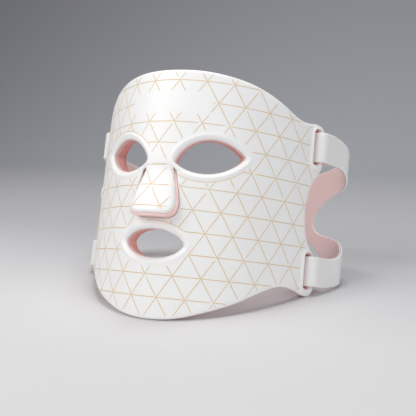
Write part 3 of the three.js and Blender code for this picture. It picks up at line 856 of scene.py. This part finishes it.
def flap_shape():
    """The nose piece's skin, its rolled edge thinning out at the bridge."""
    share = np.clip((NOSE_SEAM - 0.5 - NOSE_SKIN[:, 1]) / 4, 0, 1)
    roll = 0.1 + 0.9 * share
    rim = []
    for inset, depth in FLAP_EDGE:
        level = depth * (roll if depth < 2 else np.ones(len(roll)))
        rim.append(np.column_stack([offset(NOSE_SKIN, -inset * roll), level]))
    return plate([rim], 2.0)


CUP_INNER = [(-2.5, 5), (-2.5, 2.6), (-2.2, 2.45)]
CUP_OUTER = [(0.5, 2.45), (0.8, 2.6), (0.95, 2.95), (1, 3.5), (1, 5), (1, 7), (1, 9), (1, 11.5),
             (1, SKIRT_END)]
CUP_BACK = [(-0.6, SKIRT_END), (-0.7, 11.5), (-0.8, 9), (-0.8, 6.4)]
NOSE_LENS = [(2.4, 6.3), (2.4, 6.6), (2, 6.8), (1.2, 6.98), (0.5, 7)]


def cup_shape():
    """The nose piece's hollow pink body, which draws in under the bridge."""
    drawn_in = CUP_BRIDGE_INSET * (1 - NOSE_MARGIN / NOSE_CUP_MARGIN)
    outline = offset(NOSE_SKIN, -drawn_in)
    core = eased(outline, 24)
    margin = np.maximum(NOSE_MARGIN, 0.02)
    rim = rings(core, CUP_INNER)
    rim += rings(outline, CUP_OUTER, 1, margin)
    rim += rings(core, CUP_BACK)
    return plate([rim], 2.0)


def add_nose():
    flat, faces = flap_shape()
    flap = make("nose_skin", bend_nose(flat), faces, WHITE)
    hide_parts("nose_flap")
    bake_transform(flap)
    build("nose_cup_skin", cup_shape(), bend_nose, "nose", PINK,
          ["nose_cup"])
    lenses = [dome(spot, NOSE_LENS, 14) for spot in light_grid(-4, 4, 2, -12, 2, 2)]
    build("nose_lenses", joined(lenses), bend_nose, "nose", LENS)


add_nose()

# ---- The gold lattice --------------------------------------------------------------------------

WORD_BLANK = (-34, 35, 57, 74)      # left plain on the brow


def node(row, number):
    """A corner of the lattice. Rows count down from the brow."""
    return np.array([(number + row / 2) * LATTICE_SIDE + LATTICE_SHIFT * LATTICE_SIDE,
                     (5 - row) * LATTICE_HEIGHT])


def lattice_lines():
    """Every side of every triangle, as pairs of ends."""
    sides = []
    for row in LATTICE_ROWS:
        for number in LATTICE_COLUMNS:
            here = node(row, number)
            for there in (node(row, number + 1), node(row + 1, number),
                          node(row + 1, number - 1)):
                sides.append((here, there))
    return sides


def ribbon(line, width, proud):
    """A raised printed line along flat points, closed all round."""
    along = np.gradient(line, axis=0)
    along /= np.linalg.norm(along, axis=1)[:, None]
    across = np.column_stack([-along[:, 1], along[:, 0]])
    shape = [(-0.5, 0.03), (-0.38, -0.7 * proud), (0, -proud), (0.38, -0.7 * proud), (0.5, 0.03)]
    layers = []
    taper = np.ones(len(line))
    taper[[0, -1]] = 0.55
    for share, depth in shape:
        placed = line + across * (share * width * taper)[:, None]
        layers.append(np.column_stack([placed, np.full(len(line), depth)]))
    points = np.vstack(layers)
    count, sides = len(line), len(shape)
    faces = []
    for k in range(sides):
        a, b = k * count, (k + 1) % sides * count
        faces += [(a + i, a + i + 1, b + i + 1, b + i) for i in range(count - 1)]
    faces.append(tuple(k * count for k in range(sides)))
    faces.append(tuple(k * count + count - 1 for k in reversed(range(sides))))
    return points, faces


def runs(line, allowed, shortest):
    """The stretches of a line where it may be printed."""
    found, begin = [], None
    for i, good in enumerate([*allowed, False]):
        if good and begin is None:
            begin = i
        if not good and begin is not None:
            if i - begin >= shortest:
                found.append(line[begin:i])
            begin = None
    return found


EDGE_INSET = offset(SHEET_LOOP, -EDGE_MARGIN)
KEEP_OUT = [offset(loop, OPENING_MARGIN) for loop in (EYE_LEFT, EYE_RIGHT, MOUTH)]
KEEP_OUT += [offset(loop, SLOT_MARGIN) for loop in SLOT_HOLES]
KEEP_OUT.append(circle(BUTTON_AT, BUTTON_RADIUS + BUTTON_MARGIN))
NOSE_OUT = offset(NOSE_OPENING, NOSE_MARGIN_OUT)
NOSE_IN = offset(NOSE_SKIN, -0.5 - 2.6 * np.clip((14 - NOSE_SKIN[:, 1]) / 4, 0, 1))


def on_shell(points):
    good = inside(points, EDGE_INSET) & ~inside(points, NOSE_OUT)
    for loop in KEEP_OUT:
        good &= ~inside(points, loop)
    left, right, low, high = WORD_BLANK
    x, y = points.T
    return good & ~((x > left) & (x < right) & (y > low) & (y < high))


def on_nose(points):
    return inside(points, NOSE_IN)


def lattice(allowed, rng):
    """The printed triangles where they are allowed, with some lines broken off near an end."""
    shapes = []
    for first, last in lattice_lines():
        line = first + np.linspace(0, 1, 44)[:, None] * (last - first)
        good = allowed(line)
        draw = rng.random(3)
        if draw[0] < BREAK_SHARE:
            gap = int(4 + 4 * draw[1])
            stretch = slice(None, gap) if draw[2] < 0.5 else slice(-gap, None)
            good[stretch] = False
        for run in runs(line, good, 5):
            steps = max(int(len(run) / 4), 2)
            pick = np.linspace(0, len(run) - 1, steps + 1).round().astype(int)
            shapes.append(ribbon(run[pick], LINE_WIDTH, LINE_PROUD))
    return joined(shapes)


def arc_line(loop, share_from, share_to):
    """A fine printed arc that follows a stretch of an opening's outline."""
    whole = offset(loop, ARC_OFFSET)
    count = len(whole)
    picks = np.arange(int(share_from * count), int(share_to * count), 2) % count
    return ribbon(whole[picks], ARC_WIDTH, LINE_PROUD)


build("gold_lattice", lattice(on_shell, np.random.default_rng(LATTICE_SEED)), bend_sheet,
      "mask", GOLD)
nose_flat, nose_faces = lattice(on_nose, np.random.default_rng(LATTICE_SEED))
nose_gold = make("gold_lattice_nose", bend_nose(nose_flat), nose_faces, GOLD)
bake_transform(nose_gold)
arcs = [arc_line(EYE_LEFT, 0.04, 0.44), arc_line(EYE_RIGHT, 0.06, 0.46),
        arc_line(MOUTH, 0.56, 0.8)]
build("gold_arcs", joined(arcs), bend_sheet, "mask", GOLD)

# ---- The strap ---------------------------------------------------------------------------------


def strap_columns():
    """Where the strap's filling points stand: close round the bar and the turn."""
    turn_end = STRAP_RUN + TURN_LENGTH
    return np.concatenate([
        np.arange(-LOOP_LENGTH, 0, 1.0), np.arange(0, STRAP_RUN, 2.5),
        np.arange(STRAP_RUN, turn_end, 1.4), np.arange(turn_end, STRAP_LENGTH, 3.0),
    ])


def strap_shape(front, back, roll):
    """One layer of the strap. Its front's edge is rolled over towards the back."""
    loop = strap_loop()
    turn = np.linspace(0, RIGHT_ANGLE, 5)
    width = abs(roll)
    rim = [ring(loop, -width * 1.6, front)]
    rim += [ring(loop, -width * (1 - math.sin(a)), front - roll * (1 - math.cos(a)))
            for a in turn]
    rim += [ring(loop, -0.15, back), ring(loop, -0.9, back)]
    return plate([rim], 2.4, strap_columns())


def tab_shape():
    """The closure's thickened end: a rounded block."""
    face = STRAP_LENGTH - 0.3
    loop = even(rounded_box(STRAP_END + 0.3, face, BAND[0] - 2, BAND[1] + 2, 2.2), 0.9)
    half, roll = TAB_THICK / 2, 1.2
    turn = np.linspace(0, RIGHT_ANGLE, 5)
    over = [ring(loop, -roll * (1 - math.sin(a)), half - roll * (1 - math.cos(a)))
            for a in turn]
    under = [np.column_stack([layer[:, :2], -layer[:, 2]]) for layer in reversed(over)]
    return plate([over + under], 2.4)


skin_shape = strap_shape(STRAP_HALF, STRAP_HALF - STRAP_SKIN, 1.0)
lining_shape = strap_shape(-STRAP_HALF, STRAP_LINING - STRAP_GAP - STRAP_HALF, -0.6)
build_pair("strap_outer", skin_shape, bend_strap, STRAP_WHITE, "strap_skin")
# The lining and the closure pad take the lighter pink: painted light on their shaded side.
build_pair("strap_inner", lining_shape, bend_strap, LIT_STRAP_PINK, "strap_lining")
build_pair("closure_pad", tab_shape(), bend_strap, LIT_STRAP_PINK, "closure_tab")

# ---- The CAD pieces inside ---------------------------------------------------------------------

KEPT = {
    "led_board": BOARD_FILM, "ribbon": RIBBON_FILM, "battery_lead": RIBBON_FILM,
    "driver_lead": RIBBON_FILM, "battery_pouch": POUCH_FOIL, "driver_board": RIGID_BOARD,
    "charging_socket": STEEL, "closure_magnet": STEEL,
}
for piece in bpy.data.objects:
    cad_name = piece.get("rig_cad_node", "")
    for start, finish in KEPT.items():
        if cad_name.startswith(start):
            piece.material_slots[0].link = "OBJECT"
            piece.material_slots[0].material = finish

# ---- The stage ---------------------------------------------------------------------------------

FLOOR_HALF = 2.6
SWEEP_START = 0.75                  # where the floor starts to curve up behind the mask
SWEEP_RADIUS = 0.5
SWEEP_HEIGHT = 2.2
CAMERA_PLACE = (0.2217, -0.3884, 0.1688)
CAMERA_AIM = (0.0355, 0.0365, 0.0777)
CAMERA_ROLL = math.radians(-1.89)
CAMERA_LENS = 54.35                 # millimetres, on a 36 mm wide sensor
STUDIO_GREY = (0.72, 0.73, 0.76, 1)
STUDIO_GLOW = 0.35


def backdrop_finish():
    """Matt paper, pale in front and darker towards the back and up its sweep: painted shade of the
    light falling off.
    """
    finish = Finish("backdrop_paper")
    split = finish.nodes.new("ShaderNodeSeparateXYZ")
    finish.links.new(finish.place, split.inputs[0])
    run = finish.nodes.new("ShaderNodeMath")
    run.operation = "ADD"
    finish.links.new(split.outputs["Y"], run.inputs[0])
    finish.links.new(split.outputs["Z"], run.inputs[1])
    share = finish.nodes.new("ShaderNodeMapRange")
    share.inputs["From Min"].default_value = 0.0
    share.inputs["From Max"].default_value = SWEEP_HEIGHT
    finish.links.new(run.outputs[0], share.inputs["Value"])
    # These stops darken the paper towards the back and top: painted shade.
    stops = [(0, linear("d4d3d4")), (0.12, linear("b8b8bb")), (0.4, linear("adaeb3")),
             (1, linear("85868b"))]
    finish.link(finish.ramp(share.outputs["Result"], stops), "Base Color")
    finish.link(finish.bump(finish.noise(900, detail=2), 0.00003, 0.3), "Normal")
    finish.set(roughness=0.85, specular_ior_level=0.2)
    return finish.material


def add_backdrop():
    turn = np.linspace(0, RIGHT_ANGLE, 24)
    side = [(-FLOOR_HALF, 0), (SWEEP_START, 0)]
    side += [(SWEEP_START + SWEEP_RADIUS * math.sin(a), SWEEP_RADIUS * (1 - math.cos(a)))
             for a in turn[1:]]
    side.append((SWEEP_START + SWEEP_RADIUS, SWEEP_HEIGHT))
    points = [(x, y, z) for x in (-FLOOR_HALF, FLOOR_HALF) for y, z in side]
    count = len(side)
    faces = [(i, i + count, i + count + 1, i + 1) for i in range(count - 1)]
    mesh = bpy.data.meshes.new("backdrop")
    mesh.from_pydata(points, [], faces)
    mesh.shade_smooth()
    mesh.materials.append(backdrop_finish())
    backdrop = bpy.data.objects.new("backdrop", mesh)
    bpy.context.scene.collection.objects.link(backdrop)


def add_light(name, place, aim, size, power, colour):
    data = bpy.data.lights.new(name, "AREA")
    data.shape = "DISK"
    data.size = size
    data.energy = power
    data.color = colour
    light = bpy.data.objects.new(name, data)
    light.location = place
    light.rotation_euler = (Vector(aim) - Vector(place)).to_track_quat("-Z", "Y").to_euler()
    bpy.context.scene.collection.objects.link(light)


def add_camera():
    """The camera stands in front, a little to the wearer's left and above, slightly rolled."""
    data = bpy.data.cameras.new("camera")
    data.sensor_width = 36
    data.lens = CAMERA_LENS
    camera = bpy.data.objects.new("camera", data)
    place = Vector(CAMERA_PLACE)
    level = (Vector(CAMERA_AIM) - place).to_track_quat("-Z", "Y").to_matrix()
    roll = Matrix.Rotation(CAMERA_ROLL, 3, "Z")
    camera.matrix_world = Matrix.Translation(place) @ (level @ roll).to_4x4()
    bpy.context.scene.collection.objects.link(camera)
    bpy.context.scene.camera = camera


add_backdrop()
add_light("key", (-0.75, -0.75, 0.95), (0, 0.03, 0.1), 0.9, 9.3, (1, 0.985, 0.965))
add_light("fill", (0.95, -0.7, 0.55), (0, 0.05, 0.08), 1.0, 5.4, (0.99, 0.99, 1))
add_light("top", (0, 0.3, 1.25), (0, 0.05, 0), 0.6, 8, (1, 1, 1))
add_camera()

world = bpy.data.worlds.new("studio")
world.use_nodes = True
world.node_tree.nodes["Background"].inputs["Color"].default_value = STUDIO_GREY
world.node_tree.nodes["Background"].inputs["Strength"].default_value = STUDIO_GLOW
bpy.context.scene.world = world
bpy.context.scene.view_settings.view_transform = "Standard"

bpy.context.view_layer.update()
